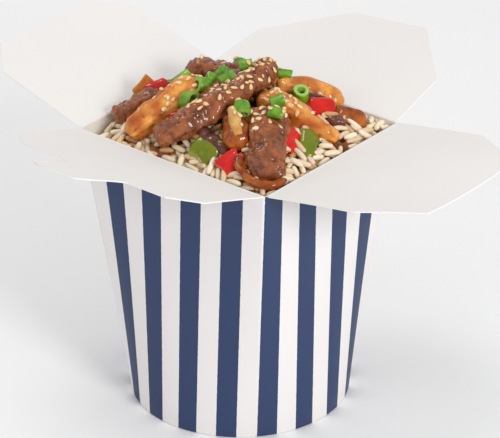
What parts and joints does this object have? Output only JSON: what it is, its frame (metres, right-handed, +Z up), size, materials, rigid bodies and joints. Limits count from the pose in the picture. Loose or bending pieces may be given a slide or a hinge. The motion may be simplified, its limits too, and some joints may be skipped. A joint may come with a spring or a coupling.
{
  "type": "stir-fry takeaway box",
  "caption": "Open striped paperboard takeaway box with a round base and hinged flaps, heaped with rice and a glazed beef, chicken and pepper stir-fry.",
  "frame": {"origin": "on the surface that the box stands on, under the middle of the open flaps' spread; the middle of the box itself is at X 2.4 mm and Y 4.9 mm", "axes": "+Z up out of the mouth; X along the short sides of the mouth, with the locking flap at -X; Y along the long sides"},
  "size_m": [0.2017, 0.2148, 0.1402],
  "materials": {
    "board_printed": "matt white paperboard printed with navy upright stripes",
    "board_white": "matt white uncoated inner face",
    "rice": "moist steamed long-grain rice",
    "beef": "seared, sticky soy glaze",
    "chicken": "golden brown, glossy glaze",
    "onion": "translucent amber, glossy",
    "onion_dark": "dark caramelised, glossy",
    "pepper_red": "smooth waxy skin, glossy",
    "pepper_green": "smooth waxy skin, glossy",
    "pepper_yellow": "smooth waxy skin, glossy",
    "spring_onion": "fresh green, satin"
  },
  "bodies": {
    "box": {"carton_wall": "board_printed", "carton_base": "board_white", "rice_heap": "rice", "beef_back": "beef", "beef_far": "beef", "beef_front": "beef", "beef_left": "beef", "beef_long": "beef", "beef_middle": "beef", "chicken_back": "chicken", "chicken_far": "chicken", "chicken_left": "chicken", "chicken_right": "chicken", "onion_charred": "onion_dark", "onion_dark": "onion_dark", "onion_front": "onion", "onion_glazed": "onion", "onion_pale": "onion", "onion_right": "onion", "onion_strip_right": "onion_dark", "pepper_green_far": "pepper_green", "pepper_green_front": "pepper_green", "pepper_green_mid": "pepper_green", "pepper_red_back": "pepper_red", "pepper_red_far": "pepper_red", "pepper_red_front": "pepper_red", "pepper_red_left": "pepper_red", "pepper_red_mid": "pepper_red", "pepper_red_right": "pepper_red", "pepper_yellow": "pepper_yellow", "spring_onion_01": "spring_onion", "spring_onion_02": "spring_onion", "spring_onion_03": "spring_onion", "spring_onion_04": "spring_onion", "spring_onion_05": "spring_onion", "spring_onion_06": "spring_onion", "spring_onion_07": "spring_onion", "spring_onion_08": "spring_onion", "spring_onion_09": "spring_onion", "spring_onion_10": "spring_onion", "spring_onion_11": "spring_onion", "spring_onion_12": "spring_onion", "spring_onion_13": "spring_onion", "spring_onion_14": "spring_onion"},
    "lock_flap": {"flap_lock": "board_white"},
    "plain_flap": {"flap_plain": "board_white"},
    "back_flap": {"flap_end_back": "board_white"},
    "front_flap": {"flap_end_front": "board_white"}
  },
  "joints": [
    {"name": "lock_fold", "type": "hinge", "parent": "box", "child": "lock_flap", "pos_m": [-0.0394, 0.0049, 0.116], "axis": [0, 1, 0], "range_deg": [-102.7, 67.3]},
    {"name": "plain_fold", "type": "hinge", "parent": "box", "child": "plain_flap", "pos_m": [0.0442, 0.0049, 0.116], "axis": [0, -1, 0], "range_deg": [-98, 72]},
    {"name": "back_fold", "type": "hinge", "parent": "box", "child": "back_flap", "pos_m": [0.0024, 0.05245, 0.116], "axis": [1, 0, 0], "range_deg": [-100.8, 69.2]},
    {"name": "front_fold", "type": "hinge", "parent": "box", "child": "front_flap", "pos_m": [0.0024, -0.04265, 0.116], "axis": [-1, 0, 0], "range_deg": [-94.8, 75.2]}
  ]
}
